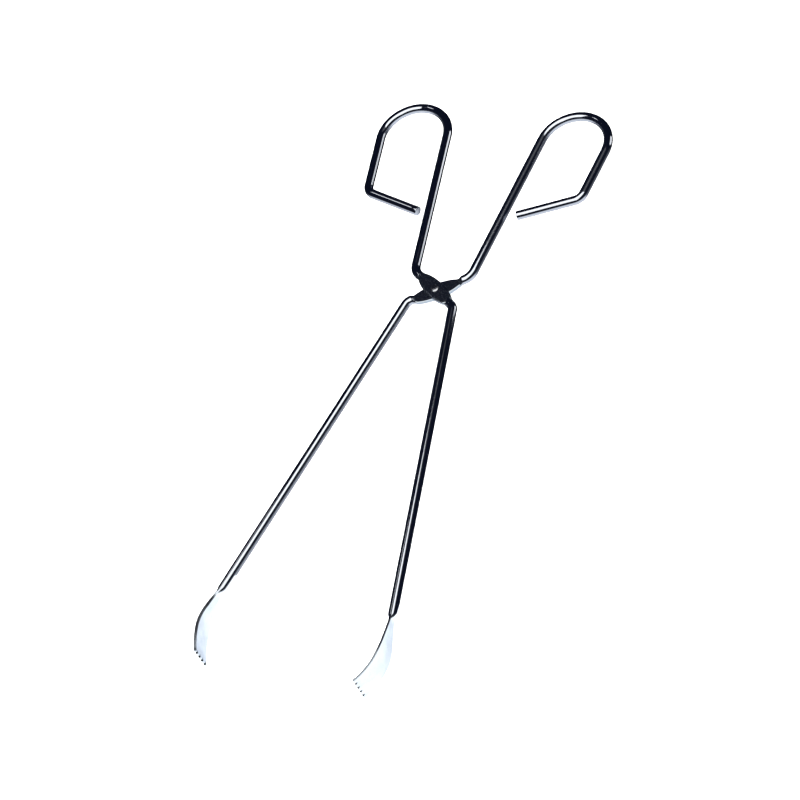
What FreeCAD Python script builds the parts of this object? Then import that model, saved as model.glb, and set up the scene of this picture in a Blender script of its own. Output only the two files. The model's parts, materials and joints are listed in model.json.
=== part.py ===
"""Scissor-type wire kitchen tongs: two chromed wire arms crossing at one rivet.

Each arm is a single wire, bent into an open finger loop at the handle end, hammered flat
where it crosses the other arm, and fanned out into a toothed blade at the jaw end. The
rear arm is the front one turned over, but for its handle and its blade's curve, which are
bent by hand and come out a little different. The tongs lie open on a level surface.
+Y runs from the jaws towards the finger loops, +Z is up, and the origin is the middle of
the footprint, on the surface. Millimetres and degrees.
"""
import os
from collections import namedtuple
from math import atan2, cos, degrees, radians, sin, tan

import FreeCAD
import Part

# Wire
ROD_D = 4.76                  # 3/16 in wire
ROD_R = ROD_D / 2

# Flattened crossing of each arm, an oval plate beside the wire's middle plane
PLATE_LEN = 27.4
PLATE_W = 9.2
PLATE_T = 2.0
PLATE_SLANT = 44.0            # slope of the plate, from across the tongs towards the jaws
PLATE_GAP = 0.10              # between the two arms' plates
SHOULDER_LEN = 2.4            # over which the plate swells into round wire

# Rivet
RIVET_D = 3.0
RIVET_CLEARANCE = 0.05        # radial, in the front arm's hole
RIVET_HEAD_D = 4.6
RIVET_HEAD_H = 0.6
RIVET_HEAD_GAP = 0.05         # over the front arm

# Shank, from the crossing to the blade
SHANK_OFFSET = 11.0           # wire's middle from the closed tongs' middle line
SHANK_ROUND = 13.0            # from the pivot to where the wire is fully round
SHANK_BEND_R = 5.0
SHANK_END_Y = -189.0          # where the round wire ends, from the pivot

# Handle, from the crossing round the finger loop
HANDLE_OFFSET = 13.5          # where it meets the line of the plate
HANDLE_ROUND = 14.6           # from the pivot to where the wire is fully round
HANDLE_BEND_R = 8.0
LOOP_R = 18.4                 # round the top of the loop, at the wire's middle
LOOP_CORNER_R = 6.0
LOOP_TAIL_LEN = 33.7

# What differs between the handles: the lean towards the middle line going up, the length,
# the loop's outer side, and the turn from that side into the loop's free tail
Handle = namedtuple("Handle", "lean length side_len tail_turn")
FRONT_HANDLE = Handle(lean=1.8, length=85.0, side_len=34.0, tail_turn=66.0)
REAR_HANDLE = Handle(lean=5.7, length=87.0, side_len=30.0, tail_turn=60.0)

# Blade
BLADE_T = 1.2
BLADE_W = 15.5
BLADE_FAN_END = 26.0          # length over which the wire fans out to the full width
TAPER_LEN = 5.5               # from round wire down to the blade's thickness
NOTCHES = 4
NOTCH_PITCH = 3.5
NOTCH_W = 1.6
NOTCH_DEPTH = 1.5

# What differs between the blades: the straight after the round wire, and the radius and
# the turn of the inward curve
Blade = namedtuple("Blade", "straight bend_r bend")
FRONT_BLADE = Blade(straight=16.6, bend_r=34.8, bend=44.9)
REAR_BLADE = Blade(straight=4.8, bend_r=53.3, bend=38.5)

# Pose in which the tongs are drawn
HALF_OPEN = 11.0              # each arm's turn from closed

UP = FreeCAD.Vector(0, 0, 1)
PIVOT = FreeCAD.Vector(0, 0, 0)


def point(x, y, z=0.0):
    return FreeCAD.Vector(x, y, z)


def direction(angle):
    """Unit vector in the plane of the tongs, at an angle from +X."""
    return point(cos(radians(angle)), sin(radians(angle)))


def straight(start, end):
    """Straight length of wire."""
    run = end - start
    return Part.makeCylinder(ROD_R, run.Length, start, run)


def bend(centre, first, turn, radius):
    """Bent length of wire about centre, from the angle first, anticlockwise by turn."""
    ring = Part.makeTorus(radius, ROD_R, PIVOT, UP, -180, 180, turn)
    ring.rotate(PIVOT, UP, first)
    ring.translate(centre)
    return ring


def heading_of(vector):
    """Angle of a vector in the plane of the tongs, from +X."""
    return degrees(atan2(vector.y, vector.x))


def bent_wire(corners, radii):
    """Lengths of wire through the corners, each inner corner bent to its radius."""
    lengths = []
    start = corners[0]
    for before, corner, after, radius in zip(corners, corners[1:], corners[2:], radii):
        to_before = (before - corner).normalize()
        to_after = (after - corner).normalize()
        half = to_before.getAngle(to_after) / 2
        setback = radius / tan(half)
        centre = corner + (to_before + to_after).normalize() * (radius / sin(half))
        arc_start = corner + to_before * setback
        arc_end = corner + to_after * setback
        turn = 180.0 - degrees(2 * half)
        turns_left = to_before.cross(to_after).z < 0
        first = arc_start if turns_left else arc_end
        lengths.append(straight(start, arc_start))
        lengths.append(bend(centre, heading_of(first - centre), turn, radius))
        start = arc_end
    lengths.append(straight(start, corners[-1]))
    return lengths


def prism(points, depth):
    """Polygon extruded along the vector depth."""
    return Part.Face(Part.makePolygon(points + points[:1])).extrude(depth)


def handle_wire(handle):
    """Wire from the crossing up the handle and round the finger loop to its free end."""
    slant = direction(180.0 - PLATE_SLANT)
    foot = slant * (HANDLE_OFFSET / cos(radians(PLATE_SLANT)))
    up_handle = direction(90.0 - handle.lean)
    outward = direction(180.0 - handle.lean)
    top = foot + up_handle * handle.length
    side_top = top + outward * (2 * LOOP_R)
    side_foot = side_top - up_handle * handle.side_len
    tail = direction(-90.0 - handle.lean + handle.tail_turn)
    grip = bent_wire([slant * HANDLE_ROUND, foot, top], [HANDLE_BEND_R])
    crown = bend(top + outward * LOOP_R, -handle.lean, 180.0, LOOP_R)
    side = bent_wire([side_top, side_foot, side_foot + tail * LOOP_TAIL_LEN],
                     [LOOP_CORNER_R])
    return grip + [crown] + side


def shank_wire():
    """Wire from the crossing down the shank to the blade."""
    slant = direction(-PLATE_SLANT)
    foot = slant * (SHANK_OFFSET / cos(radians(PLATE_SLANT)))
    return bent_wire([slant * SHANK_ROUND, foot, point(SHANK_OFFSET, SHANK_END_Y)],
                     [SHANK_BEND_R])


def shoulder(slant, round_at):
    """Wire's end beside the plate, hammered down until it sinks into the plate."""
    sunk = 0.6
    length = SHOULDER_LEN + sunk
    foot = slant * (round_at - length)
    share = length / SHOULDER_LEN
    plate_low = PLATE_GAP / 2
    sunk_low = -ROD_R + (plate_low + ROD_R) * share
    sunk_high = ROD_R - (ROD_R - plate_low - PLATE_T) * share
    across = UP.cross(slant) * ROD_D
    corners = [foot + UP * sunk_low, slant * round_at - UP * ROD_R,
               slant * round_at + UP * ROD_R, foot + UP * sunk_high]
    wedge = prism([corner - across for corner in corners], across * 2)
    return Part.makeCylinder(ROD_R, length, foot, slant).common(wedge)


def plate():
    """Oval plate, before its rivet hole."""
    oval = Part.Ellipse(PIVOT, PLATE_LEN / 2, PLATE_W / 2)
    face = Part.Face(Part.Wire(oval.toShape()))
    face.rotate(PIVOT, UP, -PLATE_SLANT)
    face.translate(UP * (PLATE_GAP / 2))
    return face.extrude(UP * PLATE_T)


def curve_centre(blade):
    """Middle of the blade's inward curve."""
    return point(SHANK_OFFSET - blade.bend_r, SHANK_END_Y - blade.straight)


def blade_strip(blade):
    """Strip of the blade's thickness and full width, curving in towards the other arm."""
    centre = curve_centre(blade)
    inner_r = blade.bend_r - BLADE_T / 2
    outer_r = blade.bend_r + BLADE_T / 2
    top_in = point(SHANK_OFFSET - BLADE_T / 2, SHANK_END_Y)
    top_out = point(SHANK_OFFSET + BLADE_T / 2, SHANK_END_Y)

    def arc(radius, first, last):
        middle = (first + last) / 2
        return Part.Arc(centre + direction(-first) * radius,
                        centre + direction(-middle) * radius,
                        centre + direction(-last) * radius).toShape()

    edges = [Part.makeLine(top_out, centre + direction(0) * outer_r),
             arc(outer_r, 0, blade.bend),
             Part.makeLine(centre + direction(-blade.bend) * outer_r,
                           centre + direction(-blade.bend) * inner_r),
             arc(inner_r, blade.bend, 0),
             Part.makeLine(centre + direction(0) * inner_r, top_in),
             Part.makeLine(top_in, top_out)]
    strip = Part.Face(Part.Wire(edges)).extrude(UP * BLADE_W)
    strip.translate(UP * (-BLADE_W / 2))
    return strip


def leaf(blade):
    """Block whose outline, seen along X, is the fanned-out shape of the blade."""
    x = SHANK_OFFSET - blade.bend_r
    depth = FreeCAD.Vector(blade.bend_r + ROD_D, 0, 0)
    tip_y = SHANK_END_Y - blade.straight - blade.bend_r
    third = BLADE_FAN_END / 3

    def side(z_sign):
        fan = Part.BezierCurve()
        fan.setPoles([point(x, SHANK_END_Y, z_sign * ROD_R),
                      point(x, SHANK_END_Y - third, z_sign * ROD_R),
                      point(x, SHANK_END_Y - 2 * third, z_sign * BLADE_W / 2),
                      point(x, SHANK_END_Y - 3 * third, z_sign * BLADE_W / 2)])
        return [fan.toShape(),
                Part.makeLine(point(x, SHANK_END_Y - 3 * third, z_sign * BLADE_W / 2),
                              point(x, tip_y, z_sign * BLADE_W / 2))]

    upper = side(1)
    lower = side(-1)
    top = Part.makeLine(point(x, SHANK_END_Y, -ROD_R), point(x, SHANK_END_Y, ROD_R))
    tip = Part.makeLine(point(x, tip_y, BLADE_W / 2), point(x, tip_y, -BLADE_W / 2))
    outline = Part.Wire([top] + upper + [tip] + lower[::-1])
    return Part.Face(outline).extrude(depth)


def taper():
    """Wire's end hammered down to the blade's thickness."""
    stub = Part.makeCylinder(ROD_R, TAPER_LEN, point(SHANK_OFFSET, SHANK_END_Y), point(0, -1))
    low_y = SHANK_END_Y - TAPER_LEN
    wedge = prism([point(SHANK_OFFSET - ROD_R, SHANK_END_Y, -ROD_D),
                   point(SHANK_OFFSET + ROD_R, SHANK_END_Y, -ROD_D),
                   point(SHANK_OFFSET + BLADE_T / 2, low_y, -ROD_D),
                   point(SHANK_OFFSET - BLADE_T / 2, low_y, -ROD_D)], UP * (2 * ROD_D))
    return stub.common(wedge)


def notches(blade):
    """Cutters for the notches between the teeth, across the blade's end."""
    out = direction(-blade.bend)
    along = direction(-blade.bend - 90.0)
    end = curve_centre(blade) + out * blade.bend_r
    cutters = []
    for index in range(NOTCHES):
        z = (index - (NOTCHES - 1) / 2) * NOTCH_PITCH
        root = end - along * NOTCH_DEPTH + UP * z - out * BLADE_T
        mouth = end + UP * z - out * BLADE_T
        corners = [root, mouth + UP * (NOTCH_W / 2), mouth + along + UP * (NOTCH_W / 2),
                   mouth + along - UP * (NOTCH_W / 2), mouth - UP * (NOTCH_W / 2)]
        cutters.append(prism(corners, out * (2 * BLADE_T)))
    return cutters


def arm(handle, blade, hole_r):
    """One arm as the front arm, closed, with the pivot at the origin."""
    jaw = blade_strip(blade).common(leaf(blade)).cut(notches(blade))
    shoulders = [shoulder(direction(180.0 - PLATE_SLANT), HANDLE_ROUND),
                 shoulder(direction(-PLATE_SLANT), SHANK_ROUND)]
    body = plate().fuse(shoulders + handle_wire(handle) + shank_wire() + [taper(), jaw])
    hole = Part.makeCylinder(hole_r, 2 * ROD_D, point(0, 0, -ROD_D))
    return body.cut(hole).removeSplitter()


def rivet():
    """Rivet, held in the rear arm and free in the front one."""
    rear_face = -PLATE_GAP / 2 - PLATE_T
    front_face = PLATE_GAP / 2 + PLATE_T + RIVET_HEAD_GAP
    head_r = RIVET_HEAD_D / 2
    dome_r = (head_r ** 2 + RIVET_HEAD_H ** 2) / (2 * RIVET_HEAD_H)
    shank = Part.makeCylinder(RIVET_D / 2, front_face - rear_face, point(0, 0, rear_face))

    def head(face, side):
        ball = Part.makeSphere(dome_r, point(0, 0, face + side * (RIVET_HEAD_H - dome_r)))
        disc = Part.makeCylinder(head_r, RIVET_HEAD_H, point(0, 0, face), UP * side)
        return ball.common(disc)

    return shank.fuse([head(front_face, 1), head(rear_face, -1)]).removeSplitter()


def build():
    """All the pieces, in place, keyed by node name."""
    front_arm = arm(FRONT_HANDLE, FRONT_BLADE, RIVET_D / 2 + RIVET_CLEARANCE)
    front_arm.rotate(PIVOT, UP, HALF_OPEN)
    rear_arm = arm(REAR_HANDLE, REAR_BLADE, RIVET_D / 2)
    rear_arm.rotate(PIVOT, point(0, 1), 180.0)
    rear_arm.rotate(PIVOT, UP, -HALF_OPEN)
    pieces = {"front_arm": front_arm, "rear_arm": rear_arm, "pivot_rivet": rivet()}
    box = Part.makeCompound(list(pieces.values())).optimalBoundingBox(False)
    to_origin = point(-(box.XMin + box.XMax) / 2, -(box.YMin + box.YMax) / 2, BLADE_W / 2)
    for piece in pieces.values():
        piece.translate(to_origin)
    print("pivot at %.3f, %.3f, %.3f mm" % tuple(to_origin))
    return pieces


os.makedirs("parts", exist_ok=True)
for node, shape in build().items():
    shape.exportStep("parts/" + node + ".step")
    print(node, shape.isValid(), len(shape.Solids), round(shape.Volume, 1))
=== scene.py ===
"""Scissor-type wire kitchen tongs, finished as bright chromed wire on a pale studio floor."""

import json
from collections import namedtuple
from math import atan2, cos, pi, radians, sin, sqrt, tan

import bmesh
import bpy
from bpy.props import FloatProperty, FloatVectorProperty, PointerProperty
from mathutils import Matrix, Vector


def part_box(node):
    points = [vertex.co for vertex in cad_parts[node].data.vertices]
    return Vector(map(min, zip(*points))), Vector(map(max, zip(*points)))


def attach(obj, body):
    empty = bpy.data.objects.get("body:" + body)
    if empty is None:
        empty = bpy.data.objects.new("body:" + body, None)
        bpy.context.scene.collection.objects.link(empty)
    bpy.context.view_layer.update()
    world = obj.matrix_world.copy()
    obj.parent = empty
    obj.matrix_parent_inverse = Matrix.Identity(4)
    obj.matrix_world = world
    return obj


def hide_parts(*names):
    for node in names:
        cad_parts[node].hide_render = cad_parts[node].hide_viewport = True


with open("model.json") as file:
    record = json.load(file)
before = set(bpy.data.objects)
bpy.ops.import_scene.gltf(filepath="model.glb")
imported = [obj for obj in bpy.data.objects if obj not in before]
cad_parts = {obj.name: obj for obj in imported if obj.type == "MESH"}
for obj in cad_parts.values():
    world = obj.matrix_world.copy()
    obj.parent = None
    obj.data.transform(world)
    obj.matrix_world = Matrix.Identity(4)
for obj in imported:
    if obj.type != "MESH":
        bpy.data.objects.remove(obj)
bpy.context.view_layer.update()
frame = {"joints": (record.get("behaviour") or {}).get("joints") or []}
HINGE = frame["joints"][0]
PIVOT = Vector(HINGE["pos_m"])

bl_info = {
    "name": "Wire Scissor Tongs",
    "version": (1, 0, 0),
    "blender": (4, 5, 0),
    "location": "3D View > Sidebar > Tongs",
    "description": "Bends, presses and finishes a pair of chromed wire kitchen tongs",
    "category": "Object",
}

# Points round the wire. Those of a pressed face are counted each way from its middle, and
# two of them stand in line with the notches
AROUND = 56
QUARTER = AROUND // 4
FACE_HALF = 10
INNER_LINE = 2
OUTER_LINE = 7

# Rings of points along each length of wire
SIDE_RINGS = 8
HANDLE_RINGS = 20
SHANK_RINGS = 30
BEND_RINGS = 14
CROWN_RINGS = 48
SHOULDER_RINGS = 8
PLATE_RINGS = 28
BLADE_RINGS = 34
STRAIGHT_RING_STEP = 0.0006   # metres between rings before the blade's curve
FEWEST_RINGS = 10

NARROWEST = 0.99              # plate's end, as a share of the wire's width
PLATE_EDGE = 0.28             # edge radius, as a share of the plate's thickness
BLADE_EDGE = 0.22             # edge radius, as a share of the blade's half thickness
FACE_LINES = (0.2, 0.7)       # two lines of points on a plain face, as shares of its half width
OUTER_EDGE = 0.99             # share of the blade's half width where its own edge begins
WALL_REACH = 0.8              # share of it that holds the walls of the notches
WALL_SLOPE = 0.4              # least upright part of the normal of a notch's wall
END_BEVEL = 0.00035           # metres off the rim of the wire's cut end
DRILL_DEPTH = 0.012           # metres, more than the wire's thickness
ROUND_SIDES = 64              # flats round the holes and the rivet
MERGE = 1e-7                  # metres between points that are the same
SHARP = radians(38)           # steepest turn that is still shaded smooth
UP = Vector((0, 0, 1))

# The studio, in metres, and how brightly its own surfaces shine
STUDIO_SIDES = 96
FLOOR_RADIUS = 9.0
WALL_RADIUS = 8.5
WALL_HEIGHT = 12.0
CARD_SIZE = (0.048, 0.064)
CARD_Y = -0.150
CARD_Z = -0.001
CARD_GLOW = 2.45
ROOM_GLOW = 1.25

# What the maker's hand leaves different from arm to arm: the handle's lean, length, outer
# side and turn into the tail, and the blade's straight, curve radius, curve turn and bevel
Bends = namedtuple("Bends", "lean length side tail_turn straight radius turn bevel")


# ---------------------------------------------------------------- sizes and colours

class TongsWireSizes(bpy.types.PropertyGroup):
    diameter: FloatProperty(
        name="Wire Diameter", description="Diameter of the round wire",
        default=0.00476, subtype="DISTANCE", unit="LENGTH")
    half_open: FloatProperty(
        name="Half Opening", description="Turn of each arm from closed, as the tongs lie",
        default=radians(11.0), subtype="ANGLE", unit="ROTATION")
    shank_offset: FloatProperty(
        name="Shank Offset", description="Shank from the middle line of the closed tongs",
        default=0.011, subtype="DISTANCE", unit="LENGTH")
    shank_length: FloatProperty(
        name="Shank Reach", description="From the rivet to the end of the round shank",
        default=0.189, subtype="DISTANCE", unit="LENGTH")
    shank_bend: FloatProperty(
        name="Shank Bend Radius", description="Bend between the plate and the shank",
        default=0.005, subtype="DISTANCE", unit="LENGTH")
    handle_offset: FloatProperty(
        name="Handle Offset", description="Where the handle meets the line of the plate",
        default=0.0135, subtype="DISTANCE", unit="LENGTH")
    handle_bend: FloatProperty(
        name="Handle Bend Radius", description="Bend between the plate and the handle",
        default=0.008, subtype="DISTANCE", unit="LENGTH")


class TongsLoopSizes(bpy.types.PropertyGroup):
    crown_radius: FloatProperty(
        name="Crown Radius", description="Half-round top of each finger loop",
        default=0.0184, subtype="DISTANCE", unit="LENGTH")
    corner_radius: FloatProperty(
        name="Corner Radius", description="Bend from the loop's side into its tail",
        default=0.006, subtype="DISTANCE", unit="LENGTH")
    tail_length: FloatProperty(
        name="Tail Length", description="Free tail of each loop, from the corner",
        default=0.0337, subtype="DISTANCE", unit="LENGTH")
    front_lean: FloatProperty(
        name="Front Lean", description="Lean of the front handle towards the middle",
        default=radians(1.8), subtype="ANGLE", unit="ROTATION")
    front_length: FloatProperty(
        name="Front Handle Length", description="Straight of the front handle",
        default=0.085, subtype="DISTANCE", unit="LENGTH")
    front_side: FloatProperty(
        name="Front Loop Side", description="Outer side of the front finger loop",
        default=0.034, subtype="DISTANCE", unit="LENGTH")
    front_tail_turn: FloatProperty(
        name="Front Tail Turn", description="Turn into the front loop's tail",
        default=radians(66.0), subtype="ANGLE", unit="ROTATION")
    rear_lean: FloatProperty(
        name="Rear Lean", description="Lean of the rear handle towards the middle",
        default=radians(5.7), subtype="ANGLE", unit="ROTATION")
    rear_length: FloatProperty(
        name="Rear Handle Length", description="Straight of the rear handle",
        default=0.087, subtype="DISTANCE", unit="LENGTH")
    rear_side: FloatProperty(
        name="Rear Loop Side", description="Outer side of the rear finger loop",
        default=0.030, subtype="DISTANCE", unit="LENGTH")
    rear_tail_turn: FloatProperty(
        name="Rear Tail Turn", description="Turn into the rear loop's tail",
        default=radians(60.0), subtype="ANGLE", unit="ROTATION")


class TongsPlateSizes(bpy.types.PropertyGroup):
    slant: FloatProperty(
        name="Plate Slant", description="Slope of the flattened crossing",
        default=radians(44.0), subtype="ANGLE", unit="ROTATION")
    length: FloatProperty(
        name="Plate Length", description="Length of the oval plate",
        default=0.0274, subtype="DISTANCE", unit="LENGTH")
    width: FloatProperty(
        name="Plate Width", description="Width of the oval plate",
        default=0.0092, subtype="DISTANCE", unit="LENGTH")
    thickness: FloatProperty(
        name="Plate Thickness", description="Thickness of the oval plate",
        default=0.002, subtype="DISTANCE", unit="LENGTH")
    gap: FloatProperty(
        name="Plate Gap", description="Gap between the two arms' plates",
        default=0.0001, subtype="DISTANCE", unit="LENGTH")
    handle_round: FloatProperty(
        name="Handle Shoulder", description="From the rivet to round wire, handle side",
        default=0.0146, subtype="DISTANCE", unit="LENGTH")
    shank_round: FloatProperty(
        name="Shank Shoulder", description="From the rivet to round wire, shank side",
        default=0.013, subtype="DISTANCE", unit="LENGTH")
    shoulder: FloatProperty(
        name="Shoulder Length", description="Length from plate to round wire",
        default=0.0024, subtype="DISTANCE", unit="LENGTH")


class TongsBladeSizes(bpy.types.PropertyGroup):
    width: FloatProperty(
        name="Blade Width", description="Full width of each blade",
        default=0.0155, subtype="DISTANCE", unit="LENGTH")
    thickness: FloatProperty(
        name="Blade Thickness", description="Thickness of each blade",
        default=0.0012, subtype="DISTANCE", unit="LENGTH")
    fan_length: FloatProperty(
        name="Fan Length", description="Length over which the wire fans out",
        default=0.026, subtype="DISTANCE", unit="LENGTH")
    taper: FloatProperty(
        name="Taper Length", description="From round wire to the blade's thickness",
        default=0.0055, subtype="DISTANCE", unit="LENGTH")
    front_straight: FloatProperty(
        name="Front Straight", description="From round wire to the front blade's curve",
        default=0.0166, subtype="DISTANCE", unit="LENGTH")
    front_radius: FloatProperty(
        name="Front Curve Radius", description="Radius of the front blade's curve",
        default=0.0348, subtype="DISTANCE", unit="LENGTH")
    front_turn: FloatProperty(
        name="Front Curve Turn", description="Turn of the front blade's curve",
        default=radians(44.9), subtype="ANGLE", unit="ROTATION")
    rear_straight: FloatProperty(
        name="Rear Straight", description="From round wire to the rear blade's curve",
        default=0.0048, subtype="DISTANCE", unit="LENGTH")
    rear_radius: FloatProperty(
        name="Rear Curve Radius", description="Radius of the rear blade's curve",
        default=0.0533, subtype="DISTANCE", unit="LENGTH")
    rear_turn: FloatProperty(
        name="Rear Curve Turn", description="Turn of the rear blade's curve",
        default=radians(38.5), subtype="ANGLE", unit="ROTATION")
    hollow: FloatProperty(
        name="Hollow", description="Depth of the hollow along the blade's inner face",
        default=0.00015, subtype="DISTANCE", unit="LENGTH")
    front_bevel: FloatProperty(
        name="Front Bevel", description="Bevel along the edges of the front blade's inner face",
        default=0.0, min=0.0, subtype="DISTANCE", unit="LENGTH")
    rear_bevel: FloatProperty(
        name="Rear Bevel", description="Bevel along the edges of the rear blade's inner face",
        default=0.0012, min=0.0, subtype="DISTANCE", unit="LENGTH")
    notch_pitch: FloatProperty(
        name="Notch Pitch", description="From notch to notch across the blade's end",
        default=0.0035, subtype="DISTANCE", unit="LENGTH")
    notch_depth: FloatProperty(
        name="Notch Depth", description="Depth of the notches between teeth",
        default=0.0015, subtype="DISTANCE", unit="LENGTH")
    notch_width: FloatProperty(
        name="Notch Width", description="Width of the notches at the tip",
        default=0.0016, subtype="DISTANCE", unit="LENGTH")


class TongsRivetSizes(bpy.types.PropertyGroup):
    diameter: FloatProperty(
        name="Rivet Diameter", description="Shank of the rivet",
        default=0.003, subtype="DISTANCE", unit="LENGTH")
    clearance: FloatProperty(
        name="Rivet Clearance", description="Radial clearance in the front arm",
        default=0.00005, subtype="DISTANCE", unit="LENGTH")
    head_diameter: FloatProperty(
        name="Head Diameter", description="Peened heads of the rivet",
        default=0.0046, subtype="DISTANCE", unit="LENGTH")
    head_height: FloatProperty(
        name="Head Height", description="Height of the peened heads",
        default=0.0006, subtype="DISTANCE", unit="LENGTH")


class TongsFinish(bpy.types.PropertyGroup):
    chrome: FloatVectorProperty(
        name="Chrome", description="Colour of the bright plated wire",
        default=(0.56, 0.58, 0.62), subtype="COLOR", size=3, min=0, max=1)
    pressed: FloatVectorProperty(
        name="Pressed Chrome", description="Colour of the plated metal where it is pressed",
        default=(0.50, 0.55, 0.59), subtype="COLOR", size=3, min=0, max=1)
    rivet: FloatVectorProperty(
        name="Rivet Steel", description="Colour of the rivet",
        default=(0.55, 0.56, 0.58), subtype="COLOR", size=3, min=0, max=1)
    edge_tint: FloatVectorProperty(
        name="Edge Tint", description="Tint of reflections seen along the surface",
        default=(0.45, 0.47, 0.55), subtype="COLOR", size=3, min=0, max=1)


class TongsStage(bpy.types.PropertyGroup):
    camera_azimuth: FloatProperty(
        name="Camera Azimuth", description="Where the camera stands, from +X",
        default=radians(-44.63), subtype="ANGLE", unit="ROTATION")
    camera_elevation: FloatProperty(
        name="Camera Elevation", description="Height of the camera above the floor's plane",
        default=radians(49.72), subtype="ANGLE", unit="ROTATION")
    camera_roll: FloatProperty(
        name="Camera Roll", description="Turn of the camera about its own view",
        default=radians(30.52), subtype="ANGLE", unit="ROTATION")
    camera_distance: FloatProperty(
        name="Camera Distance", description="From the camera to what it aims at",
        default=2.201, subtype="DISTANCE", unit="LENGTH")
    camera_lens: FloatProperty(
        name="Lens", description="Focal length on a 36 mm wide sensor",
        default=201.5, subtype="DISTANCE_CAMERA")
    camera_aim: FloatVectorProperty(
        name="Camera Aim", description="What the camera aims at, from the rivet",
        default=(0.00511, -0.06558, 0.0), subtype="TRANSLATION", size=3)
    floor: FloatVectorProperty(
        name="Floor", description="Colour of the pale floor",
        default=(0.9, 0.9, 0.9), subtype="COLOR", size=3, min=0, max=1)
    room: FloatVectorProperty(
        name="Room", description="Colour of the dim studio around the floor",
        default=(0.006, 0.008, 0.020), subtype="COLOR", size=3, min=0, max=1)
    glow: FloatVectorProperty(
        name="Low Glow", description="Colour of the light from low on the near side",
        default=(0.88, 0.92, 1.0), subtype="COLOR", size=3, min=0, max=1)


# ---------------------------------------------------------------- shaping the wire

def heading(angle):
    """Unit vector in the plane of the tongs, at an angle from +X."""
    return Vector((cos(angle), sin(angle), 0))


def smooth(share):
    """Eased share, level at both ends, of a share that may run past 0 and 1."""
    share = min(1.0, max(0.0, share))
    return share * share * (3 - 2 * share)


def pressed_point(index, half_width, half_thickness, edge_radius, lines, bevel=0.0):
    """Place of one of the points round a flat section, as across the width, then the thickness.

    Two points each side of the middle of a face stand at the given shares of the half width. A
    bevel slopes from the first face to near the other one.
    """
    index %= AROUND
    side = 1
    if index > AROUND // 2:
        index = AROUND - index
        side = -1
    from_face = QUARTER - index
    step = abs(from_face)
    out = 1 if from_face > 0 else -1
    edge_width = max(edge_radius, bevel) if side > 0 else edge_radius
    if step <= FACE_HALF:
        inner, outer = (line * half_width for line in lines)
        if step <= INNER_LINE:
            across = inner * step / INNER_LINE
        elif step <= OUTER_LINE:
            across = inner + (outer - inner) * (step - INNER_LINE) / (OUTER_LINE - INNER_LINE)
        else:
            across = outer + ((half_width - edge_width - outer) * (step - OUTER_LINE)
                              / (FACE_HALF - OUTER_LINE))
        return out * across, side * half_thickness
    share = (QUARTER - step) / (QUARTER - FACE_HALF)
    angle = share * pi / 2
    rounded = half_width - edge_radius + edge_radius * cos(angle)
    if bevel > 0:
        ridge = edge_radius - half_thickness
        if side > 0:
            return (out * (half_width - edge_width * share),
                    ridge + (half_thickness - ridge) * share)
        return out * rounded, ridge - edge_radius * sin(angle)
    return (out * rounded, side * ((half_thickness - edge_radius) * smooth(2 * share)
                                   + edge_radius * sin(angle)))


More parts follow.
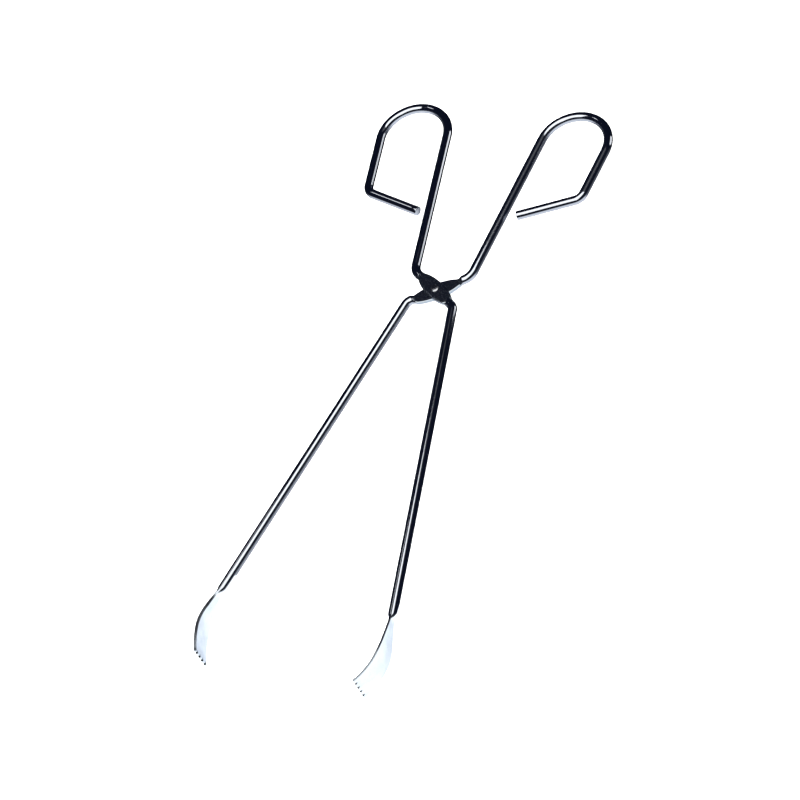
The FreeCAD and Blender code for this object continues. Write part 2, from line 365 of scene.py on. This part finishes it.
class WireForm:
    """A length of wire being drawn, bent and pressed in a bmesh, one ring at a time."""

    def __init__(self, radius, start, angle):
        self.bm = bmesh.new()
        self.index = self.bm.verts.layers.int.new("around")
        self.drawn = self.bm.verts.layers.float_vector.new("drawn")
        self.pressed = self.bm.verts.layers.float.new("pressed")
        self.bladed = self.bm.verts.layers.float.new("bladed")
        # Walls of the notches: rougher, and coloured near-black as painted shade
        self.cut = self.bm.faces.layers.float.new("cut")
        self.radius = radius
        self.centre = start.copy()
        self.angle = angle
        self.along = 0.0
        side = heading(angle + pi / 2)
        axes = Matrix((side, UP, heading(angle))).transposed().to_4x4()
        made = bmesh.ops.create_circle(self.bm, segments=AROUND, radius=radius,
                                       matrix=Matrix.Translation(start) @ axes)
        self.ring = made["verts"]
        for index, vert in enumerate(self.ring):
            place = vert.co - start
            turn = atan2(place.dot(UP), place.dot(side))
            vert[self.index] = round(turn / (2 * pi / AROUND)) % AROUND
        self._stamp(0.0)

    def _stamp(self, pressed, bladed=0.0):
        for vert in self.ring:
            turn = 2 * pi * vert[self.index] / AROUND
            vert[self.drawn] = (self.along, self.radius * cos(turn), self.radius * sin(turn))
            vert[self.pressed] = pressed
            vert[self.bladed] = bladed

    def rim(self):
        """Edges of the last ring."""
        members = set(self.ring)
        return [edge for edge in self.bm.edges if edge.verts[0] in members
                and edge.verts[1] in members]

    def _extrude(self):
        made = bmesh.ops.extrude_edge_only(self.bm, edges=self.rim())
        self.ring = [item for item in made["geom"] if isinstance(item, bmesh.types.BMVert)]

    def draw(self, length, steps=1):
        """Straight length of wire."""
        for _ in range(steps):
            self._extrude()
            step = heading(self.angle) * (length / steps)
            bmesh.ops.translate(self.bm, verts=self.ring, vec=step)
            self.centre += step
            self.along += length / steps
            self._stamp(0.0)

    def bend(self, radius, turn, steps):
        """Bent length of wire, to the left for a positive turn."""
        side = heading(self.angle + (pi / 2 if turn > 0 else -pi / 2))
        about = self.centre + side * radius
        for _ in range(steps):
            self._extrude()
            rotation = Matrix.Rotation(turn / steps, 3, "Z")
            bmesh.ops.rotate(self.bm, verts=self.ring, cent=about, matrix=rotation)
            self.centre = about + rotation @ (self.centre - about)
            self.angle += turn / steps
            self.along += abs(turn) * radius / steps
            self._stamp(0.0)

    def press(self, share, half_width, half_thickness, edge_radius, lift=0.0, upright=False,
              hollow=0.0, lines=FACE_LINES, bevel=0.0):
        """Hammers the last ring, by a share, from round to a flat section."""
        side = heading(self.angle + pi / 2)
        for vert in self.ring:
            index = vert[self.index]
            turn = 2 * pi * index / AROUND
            wide, thin = pressed_point(index - (QUARTER if upright else 0), half_width,
                                       half_thickness, edge_radius, lines, bevel)
            if upright:
                thin -= hollow * (1 - (wide / half_width) ** 2)
                wide, thin = -thin, wide
            across = self.radius * cos(turn) * (1 - share) + wide * share
            above = self.radius * sin(turn) * (1 - share) + (thin + lift) * share
            vert.co = self.centre + side * across + UP * above
        self._stamp(share, share if upright else 0.0)


def start_cap(form):
    """Closes the free end of the wire's first ring with a flat face."""
    edges = [edge for edge in form.bm.edges if edge.is_boundary
             and all(vert[form.drawn][0] == 0.0 for vert in edge.verts)]
    made = bmesh.ops.contextual_create(form.bm, geom=edges)
    rim = [edge for face in made["faces"] for edge in face.edges]
    bmesh.ops.bevel(form.bm, geom=rim, offset=END_BEVEL, offset_type="OFFSET", segments=3,
                    profile=0.5, affect="EDGES", material=-1, clamp_overlap=True)


def bend_setback(radius, turn):
    """Length of straight that a bend takes from each side of its corner."""
    return radius * tan(abs(turn) / 2)


def add_loop_and_handle(form, wire, loops, plate, bends):
    """Tail, side, crown and handle of one finger loop, down to the plate's shoulder."""
    corner = bend_setback(loops.corner_radius, bends.tail_turn)
    form.draw(loops.tail_length - corner, SIDE_RINGS)
    form.bend(loops.corner_radius, -bends.tail_turn, BEND_RINGS)
    form.draw(bends.side - corner, SIDE_RINGS)
    form.bend(loops.crown_radius, -pi, CROWN_RINGS)
    foot_turn = pi / 2 - plate.slant + bends.lean
    foot = bend_setback(wire.handle_bend, foot_turn)
    form.draw(bends.length - foot, HANDLE_RINGS)
    form.bend(wire.handle_bend, foot_turn, BEND_RINGS)
    form.draw(wire.handle_offset / cos(plate.slant) - foot - plate.handle_round)


def add_plate(form, plate):
    """Shoulder, oval plate and the other shoulder."""
    half_length = plate.length / 2
    lift = plate.gap / 2 + plate.thickness / 2
    edge_radius = plate.thickness * PLATE_EDGE
    shoulder = [plate.shoulder * step / SHOULDER_RINGS for step in range(1, SHOULDER_RINGS + 1)]
    places = [plate.handle_round - step for step in shoulder]
    first_flat = places[-1]
    last_flat = -(plate.shank_round - plate.shoulder)
    places += [first_flat + (last_flat - first_flat) * step / PLATE_RINGS
               for step in range(1, PLATE_RINGS + 1)]
    places += [last_flat - step for step in shoulder]
    at = plate.handle_round
    for place in places:
        step = at - place
        form.draw(step)
        at = place
        if place > 0:
            share = smooth((plate.handle_round - place) / plate.shoulder)
        else:
            share = smooth((plate.shank_round + place) / plate.shoulder)
        oval = plate.width / 2 * sqrt(max(0.0, 1 - (place / half_length) ** 2))
        half_width = max(oval, form.radius * NARROWEST)
        form.press(share, half_width, plate.thickness / 2, edge_radius, lift)


def add_shank(form, wire, plate):
    """Bend and straight shank, down to the blade."""
    turn = pi / 2 - plate.slant
    foot = bend_setback(wire.shank_bend, turn)
    form.draw(wire.shank_offset / cos(plate.slant) - plate.shank_round - foot)
    form.bend(wire.shank_bend, -turn, BEND_RINGS)
    length = wire.shank_length - wire.shank_offset * tan(plate.slant) - foot
    form.draw(length, SHANK_RINGS)


def add_blade(form, blade, bends):
    """Taper, fan and inward curve of the blade, up to the roots of its teeth."""
    half_thickness = blade.thickness / 2
    edge_radius = half_thickness * BLADE_EDGE
    spread = blade.width / 2 - form.radius
    lines = (blade.notch_pitch / blade.width, 3 * blade.notch_pitch / blade.width)
    root_turn = bends.turn - blade.notch_depth / bends.radius
    along = 0.0

    def hammer():
        half_width = form.radius + spread * smooth(along / blade.fan_length)
        share = smooth(along / blade.taper)
        bevel = min(bends.bevel, half_width / 4) * share
        form.press(share, half_width, half_thickness, edge_radius, upright=True,
                   hollow=blade.hollow * smooth(along / blade.fan_length), lines=lines,
                   bevel=bevel)

    steps = max(FEWEST_RINGS, round(bends.straight / STRAIGHT_RING_STEP))
    for _ in range(steps):
        form.draw(bends.straight / steps)
        along += bends.straight / steps
        hammer()
    for _ in range(BLADE_RINGS):
        form.bend(bends.radius, -root_turn / BLADE_RINGS, 1)
        along += bends.radius * root_turn / BLADE_RINGS
        hammer()


def add_teeth(form, blade):
    """Splits the blade's end at the notches' roots, draws a tooth out of each part and marks
    the walls of the notches."""
    bm = form.bm
    by_index = {vert[form.index]: vert for vert in form.ring}
    members = set(form.ring)
    bmesh.ops.contextual_create(bm, geom=form.rim())
    for root in (-OUTER_LINE, -INNER_LINE, INNER_LINE, OUTER_LINE):
        pair = [by_index[root % AROUND], by_index[AROUND // 2 - root]]
        bmesh.ops.connect_verts(bm, verts=pair)
    parts = [face for face in bm.faces if all(vert in members for vert in face.verts)]
    ahead = heading(form.angle) * blade.notch_depth
    half_width = blade.width / 2
    edge = half_width * OUTER_EDGE
    for part in parts:
        made = bmesh.ops.extrude_discrete_faces(bm, faces=[part])
        tip = made["faces"][0]
        heights = [vert.co.z - form.centre.z for vert in tip.verts]
        low, high = min(heights), max(heights)
        new_low = low if low < -edge else low + blade.notch_width / 2
        new_high = high if high > edge else high - blade.notch_width / 2
        for vert in tip.verts:
            share = (vert.co.z - form.centre.z - low) / (high - low)
            vert.co.z = form.centre.z + new_low + (new_high - new_low) * share
        bmesh.ops.translate(bm, verts=tip.verts[:], vec=ahead)
        for wall in {face for rim in tip.edges for face in rim.link_faces} - {tip}:
            wall.normal_update()
            middle = wall.calc_center_median().z - form.centre.z
            # The notches' walls get the mark that the material makes rougher and paints
            # near-black as painted shade
            if abs(wall.normal.z) > WALL_SLOPE and abs(middle) < half_width * WALL_REACH:
                wall[form.cut] = 1.0


def new_piece(bm, name):
    """Object made of the bmesh, linked to the scene."""
    mesh = bpy.data.meshes.new(name)
    bm.to_mesh(mesh)
    bm.free()
    piece = bpy.data.objects.new(name, mesh)
    bpy.context.scene.collection.objects.link(piece)
    return piece


def finish_mesh(bm, name):
    """Object of the bmesh, closed, and smooth but for its real edges."""
    bmesh.ops.remove_doubles(bm, verts=bm.verts[:], dist=MERGE)
    bmesh.ops.recalc_face_normals(bm, faces=bm.faces[:])
    for face in bm.faces:
        face.smooth = True
    for edge in bm.edges:
        edge.smooth = len(edge.link_faces) == 2 and edge.calc_face_angle(0) < SHARP
    return new_piece(bm, name)


def drill(piece, radius, place):
    """Cuts a round hole along Z through the piece."""
    bm = bmesh.new()
    bmesh.ops.create_cone(bm, cap_ends=True, segments=ROUND_SIDES, radius1=radius, radius2=radius,
                          depth=DRILL_DEPTH, matrix=Matrix.Translation(place))
    cutter = new_piece(bm, "drill")
    cut = piece.modifiers.new("hole", "BOOLEAN")
    cut.object = cutter
    cut.operation = "DIFFERENCE"
    cut.solver = "EXACT"
    bpy.context.view_layer.update()
    drilled = bpy.data.meshes.new_from_object(
        piece.evaluated_get(bpy.context.evaluated_depsgraph_get()))
    piece.modifiers.clear()
    piece.data = drilled
    piece.data.name = piece.name
    bpy.data.objects.remove(cutter)


def form_arm(scene, bends):
    """One arm, closed, with the rivet's axis at the origin, as the front arm lies."""
    wire = scene.tongs_wire
    loops = scene.tongs_loops
    plate = scene.tongs_plate
    outward = heading(pi - bends.lean)
    up_handle = heading(pi / 2 - bends.lean)
    foot = heading(pi - plate.slant) * (wire.handle_offset / cos(plate.slant))
    side_foot = (foot + up_handle * (bends.length - bends.side)
                 + outward * (2 * loops.crown_radius))
    tail_angle = -pi / 2 - bends.lean + bends.tail_turn
    tail_end = side_foot + heading(tail_angle) * loops.tail_length
    form = WireForm(wire.diameter / 2, tail_end, tail_angle + pi)
    add_loop_and_handle(form, wire, loops, plate, bends)
    add_plate(form, plate)
    add_shank(form, wire, plate)
    add_blade(form, scene.tongs_blade, bends)
    add_teeth(form, scene.tongs_blade)
    start_cap(form)
    return form


def lay_arm(piece, hole_radius, turned_over, half_open):
    """Drills the arm and lays it in its place, open by half the opening."""
    drill(piece, hole_radius, Vector((0, 0, 0)))
    over = Matrix.Rotation(pi, 4, "Y") if turned_over else Matrix.Identity(4)
    swing = Matrix.Rotation(-half_open if turned_over else half_open, 4, "Z")
    piece.data.transform(Matrix.Translation(PIVOT) @ swing @ over)


# ---------------------------------------------------------------- finishes

class Socket:
    """A shader value that takes part in arithmetic, adding its Math nodes."""

    def __init__(self, shader, link):
        self.shader = shader
        self.link = link

    def _math(self, operation, first, second=None):
        values = {0: first} if second is None else {0: first, 1: second}
        return self.shader.node("ShaderNodeMath", {"operation": operation}, values)[0]

    def __add__(self, other):
        return self._math("ADD", self, other)

    def __radd__(self, other):
        return self._math("ADD", other, self)

    def __sub__(self, other):
        return self._math("SUBTRACT", self, other)

    def __rsub__(self, other):
        return self._math("SUBTRACT", other, self)

    def __mul__(self, other):
        return self._math("MULTIPLY", self, other)

    def __rmul__(self, other):
        return self._math("MULTIPLY", other, self)


class Shader:
    """The node tree of a material or of the room."""

    def __init__(self, tree):
        self.tree = tree
        self.tree.nodes.clear()

    def node(self, kind, settings=None, values=None):
        """Adds a node, sets it up, fills its sockets and gives its outputs."""
        made = self.tree.nodes.new(kind)
        for key, value in (settings or {}).items():
            if key == "stops":
                ramp = made.color_ramp
                while len(ramp.elements) < len(value):
                    ramp.elements.new(0.5)
                for element, (position, shade) in zip(ramp.elements, value):
                    element.position = position
                    element.color = (shade, shade, shade, 1)
            else:
                setattr(made, key, value)
        for key, value in (values or {}).items():
            if isinstance(value, Socket):
                self.tree.links.new(value.link, made.inputs[key])
            else:
                made.inputs[key].default_value = value
        return [Socket(self, output) for output in made.outputs]

    def stretch(self, vector, scale):
        """Vector times a scale along each axis."""
        return self.node("ShaderNodeVectorMath", {"operation": "MULTIPLY"},
                         {0: vector, 1: scale})[0]

    def noise(self, vector, scale, detail=2.0, rough=0.5):
        """Noise from 0 to 1, about 0.5."""
        return self.node("ShaderNodeTexNoise", {}, {"Vector": vector, "Scale": scale,
                         "Detail": detail, "Roughness": rough})[0]

    def ramp(self, value, *stops):
        """Value through a grey ramp of (position, shade) stops."""
        return self.node("ShaderNodeValToRGB", {"stops": stops}, {0: value})[0]

    def mix(self, share, first, second):
        """Colour between two colours."""
        return self.node("ShaderNodeMix", {"data_type": "RGBA"},
                         {0: share, 6: first, 7: second})[2]

    def bump(self, height, strength, distance):
        """Normal for a height."""
        return self.node("ShaderNodeBump", {}, {"Height": height, "Strength": strength,
                         "Distance": distance})[0]

    def finish(self, values):
        """Principled surface with these socket values, as the material's output."""
        surface = self.node("ShaderNodeBsdfPrincipled", {}, values)[0]
        self.node("ShaderNodeOutputMaterial", {}, {"Surface": surface})


def new_material(name):
    """Material with an empty node tree, and the shader that fills it."""
    material = bpy.data.materials.new(name)
    material.use_nodes = True
    return material, Shader(material.node_tree)


def rgba(colour, scale=1.0):
    """Colour times a scale, with full alpha."""
    return (colour[0] * scale, colour[1] * scale, colour[2] * scale, 1.0)


def chrome_wire(finish):
    """Bright plate on drawn wire, duller on the pressed blades, with painted shade on the walls
    of their notches.
    """
    material, shader = new_material("chrome_wire")
    drawn = shader.node("ShaderNodeAttribute", {"attribute_name": "drawn"})[1]
    pressed = shader.node("ShaderNodeAttribute", {"attribute_name": "pressed"})[2]
    bladed = shader.node("ShaderNodeAttribute", {"attribute_name": "bladed"})[2]
    cut = shader.node("ShaderNodeAttribute", {"attribute_name": "cut"})[2]
    place = shader.node("ShaderNodeTexCoord")[3]
    lines = shader.noise(shader.stretch(drawn, (30.0, 2600.0, 2600.0)), 1.0, 3.0, 0.6)
    waves = shader.noise(shader.stretch(drawn, (120.0, 260.0, 260.0)), 1.0, 2.0)
    smudges = shader.noise(place, 70.0, 4.0, 0.6)
    mottle = shader.noise(place, 1500.0, 3.0, 0.65)
    hammer = shader.noise(place, 420.0, 2.0, 0.5)
    pits = shader.ramp(shader.noise(place, 2600.0, 2.0, 0.7), (0.66, 0.0), (0.74, 1.0))
    patches = shader.ramp(shader.noise(place, 95.0, 2.0, 0.5), (0.40, 0.0), (0.62, 1.0))
    dull = pressed * (0.105 + 0.03 * mottle) + bladed * (0.06 + 0.07 * mottle)
    roughness = 0.035 + 0.05 * smudges + 0.02 * lines + dull + 0.3 * cut
    bright = shader.mix(smudges, rgba(finish.chrome), rgba(finish.chrome, 0.9))
    flat = shader.mix(0.5 * mottle + 0.5 * patches * bladed, rgba(finish.pressed),
                      rgba(finish.pressed, 0.74))
    colour = shader.mix(pressed, bright, flat)
    spotted = shader.mix(pits * bladed * 0.3, colour, rgba(finish.pressed, 0.5))
    # Painted shade: the walls of the notches are coloured near-black, for the shade inside them
    notch_painted_shade = shader.mix(cut, spotted, rgba(finish.pressed, 0.04))
    height = (waves * 0.6 + lines * 0.05 + pressed * hammer * 0.3
              + bladed * (hammer * 0.9 + mottle * 0.25 - pits * 0.2))
    shader.finish({
        "Base Color": notch_painted_shade, "Metallic": 1.0, "Roughness": roughness,
        "Specular Tint": rgba(finish.edge_tint),
        "Normal": shader.bump(height, 0.35, 0.00006)})
    return material


def rivet_steel(finish):
    """Plated steel with the small dents of peening."""
    material, shader = new_material("rivet_steel")
    place = shader.node("ShaderNodeTexCoord")[3]
    dents = shader.node("ShaderNodeTexVoronoi", {"feature": "SMOOTH_F1"},
                        {"Vector": place, "Scale": 1400.0, "Smoothness": 0.6})[0]
    grain = shader.noise(place, 4200.0, 3.0, 0.6)
    colour = shader.mix(grain, rgba(finish.rivet), rgba(finish.rivet, 0.7))
    shader.finish({
        "Base Color": colour, "Metallic": 1.0, "Roughness": 0.16 + 0.12 * grain,
        "Specular Tint": rgba(finish.edge_tint),
        "Normal": shader.bump(dents + grain * 0.15, 0.5, 0.00012)})
    return material


def pale_floor(stage):
    """Plain pale floor with the faintest unevenness."""
    material, shader = new_material("pale_floor")
    place = shader.node("ShaderNodeTexCoord")[3]
    cloud = shader.noise(place, 1.5, 2.0)
    colour = shader.mix(cloud, rgba(stage.floor), rgba(stage.floor, 0.985))
    shader.finish({"Base Color": colour, "Roughness": 0.9,
                   "Specular IOR Level": 0.0})
    return material


def pale_wall(stage):
    """Plain lit wall, far behind the floor."""
    material, shader = new_material("pale_wall")
    place = shader.node("ShaderNodeTexCoord")[3]
    cloud = shader.noise(place, 0.6, 2.0)
    shader.finish({"Base Color": rgba(stage.floor, 0.0), "Specular IOR Level": 0.0,
                   "Emission Color": shader.mix(cloud, rgba((1, 1, 1)), rgba((1, 1, 1), 0.97)),
                   "Emission Strength": 1.0})
    return material


def lit_card():
    """White card lit evenly, for the blades to mirror."""
    material, shader = new_material("lit_card")
    shader.finish({"Base Color": (0, 0, 0, 1), "Specular IOR Level": 0.0,
                   "Emission Color": (0.98, 0.99, 1.0, 1), "Emission Strength": CARD_GLOW})
    material.cycles.emission_sampling = "NONE"
    return material


def studio_room(stage):
    """Dim room, with the paler light that comes up from below on the near side."""
    room = bpy.data.worlds.new("studio_room")
    room.use_nodes = True
    shader = Shader(room.node_tree)
    way = shader.node("ShaderNodeTexCoord")[0]
    height = shader.node("ShaderNodeSeparateXYZ", {}, {0: way})[2]
    azimuth, elevation = radians(-75), radians(-30)
    near = (cos(elevation) * cos(azimuth), cos(elevation) * sin(azimuth), sin(elevation))
    facing = shader.node("ShaderNodeVectorMath", {"operation": "DOT_PRODUCT"},
                         {0: way, 1: near})[1]
    glow = shader.ramp(facing * 1.6 + 0.2, (0.0, 0.0), (0.36, 0.14), (0.6, 0.36), (1.0, 1.0))
    below = shader.ramp(0.0 - height * 2.2, (0.03, 0.0), (0.35, 0.6), (1.0, 1.0))
    colour = shader.mix(glow * below, rgba(stage.room), rgba(stage.glow, ROOM_GLOW))
    back = shader.node("ShaderNodeBackground", {}, {"Color": colour})[0]
    shader.node("ShaderNodeOutputWorld", {}, {"Surface": back})
    return room


# ---------------------------------------------------------------- operators

class TONGS_OT_front_arm(bpy.types.Operator):
    """Form the front arm, whose plate lies over the rear arm's"""
    bl_idname = "tongs.front_arm"
    bl_label = "Front Arm"

    def execute(self, context):
        scene = context.scene
        loops = scene.tongs_loops
        blade = scene.tongs_blade
        form = form_arm(scene, Bends(
            loops.front_lean, loops.front_length, loops.front_side, loops.front_tail_turn,
            blade.front_straight, blade.front_radius, blade.front_turn, blade.front_bevel))
        piece = finish_mesh(form.bm, "front_arm_wire")
        rivet = scene.tongs_rivet
        lay_arm(piece, rivet.diameter / 2 + rivet.clearance, False,
                scene.tongs_wire.half_open)
        piece.data.materials.clear()
        piece.data.materials.append(chrome_wire(scene.tongs_finish))
        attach(piece, "front")
        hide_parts("front_arm")
        return {"FINISHED"}


class TONGS_OT_rear_arm(bpy.types.Operator):
    """Form the rear arm, turned over under the front one"""
    bl_idname = "tongs.rear_arm"
    bl_label = "Rear Arm"

    def execute(self, context):
        scene = context.scene
        loops = scene.tongs_loops
        blade = scene.tongs_blade
        form = form_arm(scene, Bends(
            loops.rear_lean, loops.rear_length, loops.rear_side, loops.rear_tail_turn,
            blade.rear_straight, blade.rear_radius, blade.rear_turn, blade.rear_bevel))
        piece = finish_mesh(form.bm, "rear_arm_wire")
        lay_arm(piece, scene.tongs_rivet.diameter / 2, True, scene.tongs_wire.half_open)
        piece.data.materials.clear()
        piece.data.materials.append(chrome_wire(scene.tongs_finish))
        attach(piece, "rear")
        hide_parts("rear_arm")
        return {"FINISHED"}


class TONGS_OT_rivet(bpy.types.Operator):
    """Turn the rivet with its two peened heads"""
    bl_idname = "tongs.rivet"
    bl_label = "Rivet"

    def execute(self, context):
        sizes = context.scene.tongs_rivet
        low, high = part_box("pivot_rivet")
        shank = sizes.diameter / 2
        head = sizes.head_diameter / 2
        tall = sizes.head_height
        bm = bmesh.new()

        def cap(z, way):
            # Shares of the head's radius and height, from its middle to its rim
            rise = [(0.0, 1.0), (0.30, 0.97), (0.58, 0.86), (0.80, 0.66), (0.94, 0.42),
                    (1.0, 0.18), (0.985, 0.04), (0.95, 0.0)]
            return [(head * out, z + way * tall * up) for out, up in rise]

        under_front = high.z - tall
        under_rear = low.z + tall
        outline = cap(under_front, 1) + [(shank, under_front), (shank, under_rear)]
        outline += cap(under_rear, -1)[::-1]
        verts = [bm.verts.new((PIVOT.x + out, PIVOT.y, z)) for out, z in outline]
        edges = [bm.edges.new(pair) for pair in zip(verts, verts[1:])]
        bmesh.ops.spin(bm, geom=verts + edges, cent=PIVOT, axis=UP, angle=2 * pi,
                       steps=ROUND_SIDES, use_merge=True)
        piece = finish_mesh(bm, "rivet_peened")
        piece.data.materials.append(rivet_steel(context.scene.tongs_finish))
        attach(piece, "rear")
        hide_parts("pivot_rivet")
        return {"FINISHED"}


class TONGS_OT_stage(bpy.types.Operator):
    """Lay the floor and place the lights and the camera"""
    bl_idname = "tongs.stage"
    bl_label = "Stage"

    def execute(self, context):
        scene = context.scene
        stage = scene.tongs_stage
        bm = bmesh.new()
        bmesh.ops.create_circle(bm, cap_ends=True, segments=STUDIO_SIDES, radius=FLOOR_RADIUS)
        self.backdrop("studio_floor", bm, pale_floor(stage))
        bm = bmesh.new()
        bmesh.ops.create_cone(bm, segments=STUDIO_SIDES, radius1=WALL_RADIUS,
                              radius2=WALL_RADIUS, depth=WALL_HEIGHT)
        self.backdrop("studio_wall", bm, pale_wall(stage)).visible_diffuse = False
        scene.world = studio_room(stage)
        down = Vector((0, 0, -1))
        across = Vector((-0.707, -0.707, 0.0))
        # Lights that only the metal mirrors: two panels overhead with a dim fringe, and small
        # cards for the handles and a tail
        for name, place, facing, size, brightness in (
                ("overhead_softbox", (0.26, -0.0875, 0.817), down, (0.72, 1.125), 1.9),
                ("overhead_fringe", (0.26, 0.545, 0.817), down, (0.72, 0.14), 0.12),
                ("near_softbox", (-0.26, -0.26, 0.817), down, (0.32, 0.90), 1.9),
                ("handle_card", (0.353, 0.495, 0.01), across, (0.16, 0.30), 1.5),
                ("tail_card", (-0.57, 0.29, 0.817), down, (0.10, 0.18), 1.8)):
            lamp = self.softbox(scene, name, place, facing, size, brightness)
            lamp.visible_diffuse = False
        # Shadowless light that only the floor receives
        wash = self.softbox(scene, "floor_wash", (0.0, 0.0, 2.3), down, (3.4, 3.4), 8.0)
        wash.visible_glossy = False
        wash.data.use_shadow = False
        # A lit card under each blade, which only the metal mirrors
        for name, middle in (("front_card", 0.0585), ("rear_card", -0.044)):
            bm = bmesh.new()
            bmesh.ops.create_grid(bm, x_segments=1, y_segments=1, size=0.5)
            bmesh.ops.scale(bm, vec=(*CARD_SIZE, 1.0), verts=bm.verts[:])
            bmesh.ops.translate(bm, vec=(middle, CARD_Y, CARD_Z), verts=bm.verts[:])
            card = self.backdrop(name, bm, lit_card())
            card.visible_glossy = True
            card.visible_camera = False
            card.visible_diffuse = False
        self.camera(scene, stage)
        scene.view_settings.view_transform = "Standard"
        return {"FINISHED"}

    def backdrop(self, name, bm, material):
        """Part of the studio, which the polished metal doesn't mirror."""
        piece = new_piece(bm, name)
        piece.data.materials.append(material)
        piece.visible_glossy = False
        piece.visible_shadow = False
        return piece

    def softbox(self, scene, name, place, facing, size, brightness):
        """Rectangular light of an even brightness, turned to face a direction."""
        light = bpy.data.lights.new(name, "AREA")
        light.shape = "RECTANGLE"
        light.size, light.size_y = size
        light.energy = brightness * pi * size[0] * size[1]
        lamp = bpy.data.objects.new(name, light)
        scene.collection.objects.link(lamp)
        lamp.location = place
        lamp.rotation_euler = facing.to_track_quat("-Z", "Y").to_euler()
        lamp.visible_camera = False
        return lamp

    def camera(self, scene, stage):
        """Long lens looking down across the tongs."""
        lens = bpy.data.cameras.new("studio_camera")
        lens.lens = stage.camera_lens
        lens.sensor_width = 36.0
        lens.clip_end = 100.0
        camera = bpy.data.objects.new("studio_camera", lens)
        scene.collection.objects.link(camera)
        azimuth = stage.camera_azimuth
        elevation = stage.camera_elevation
        back = Vector((cos(elevation) * cos(azimuth), cos(elevation) * sin(azimuth),
                       sin(elevation)))
        level_right = Vector((-sin(azimuth), cos(azimuth), 0))
        level_up = back.cross(level_right)
        right = level_right * cos(stage.camera_roll) - level_up * sin(stage.camera_roll)
        above = level_right * sin(stage.camera_roll) + level_up * cos(stage.camera_roll)
        camera.matrix_world = Matrix.Translation(
            PIVOT + Vector(stage.camera_aim) + back * stage.camera_distance
        ) @ Matrix((right, above, back)).transposed().to_4x4()
        scene.camera = camera


class TONGS_PT_panel(bpy.types.Panel):
    """Everything that makes the tongs, in order"""
    bl_idname = "TONGS_PT_panel"
    bl_label = "Wire Tongs"
    bl_space_type = "VIEW_3D"
    bl_region_type = "UI"
    bl_category = "Tongs"

    def draw(self, context):
        scene = context.scene
        for group in ("wire", "loops", "plate", "blade", "rivet", "finish", "stage"):
            box = self.layout.box()
            box.label(text=group.title())
            sizes = getattr(scene, "tongs_" + group)
            for key in sizes.bl_rna.properties.keys():
                if key not in {"rna_type", "name"}:
                    box.prop(sizes, key)
        for operator in OPERATORS:
            self.layout.operator(operator.bl_idname)


GROUPS = {
    "tongs_wire": TongsWireSizes,
    "tongs_loops": TongsLoopSizes,
    "tongs_plate": TongsPlateSizes,
    "tongs_blade": TongsBladeSizes,
    "tongs_rivet": TongsRivetSizes,
    "tongs_finish": TongsFinish,
    "tongs_stage": TongsStage,
}
OPERATORS = (TONGS_OT_front_arm, TONGS_OT_rear_arm, TONGS_OT_rivet, TONGS_OT_stage)


def register():
    for group in GROUPS.values():
        bpy.utils.register_class(group)
    for operator in OPERATORS:
        bpy.utils.register_class(operator)
    bpy.utils.register_class(TONGS_PT_panel)
    for name, group in GROUPS.items():
        setattr(bpy.types.Scene, name, PointerProperty(type=group))


def unregister():
    for name in GROUPS:
        delattr(bpy.types.Scene, name)
    bpy.utils.unregister_class(TONGS_PT_panel)
    for operator in reversed(OPERATORS):
        bpy.utils.unregister_class(operator)
    for group in reversed(list(GROUPS.values())):
        bpy.utils.unregister_class(group)


def main():
    register()
    bpy.ops.tongs.front_arm()
    bpy.ops.tongs.rear_arm()
    bpy.ops.tongs.rivet()
    bpy.ops.tongs.stage()


if __name__ == "__main__":
    main()
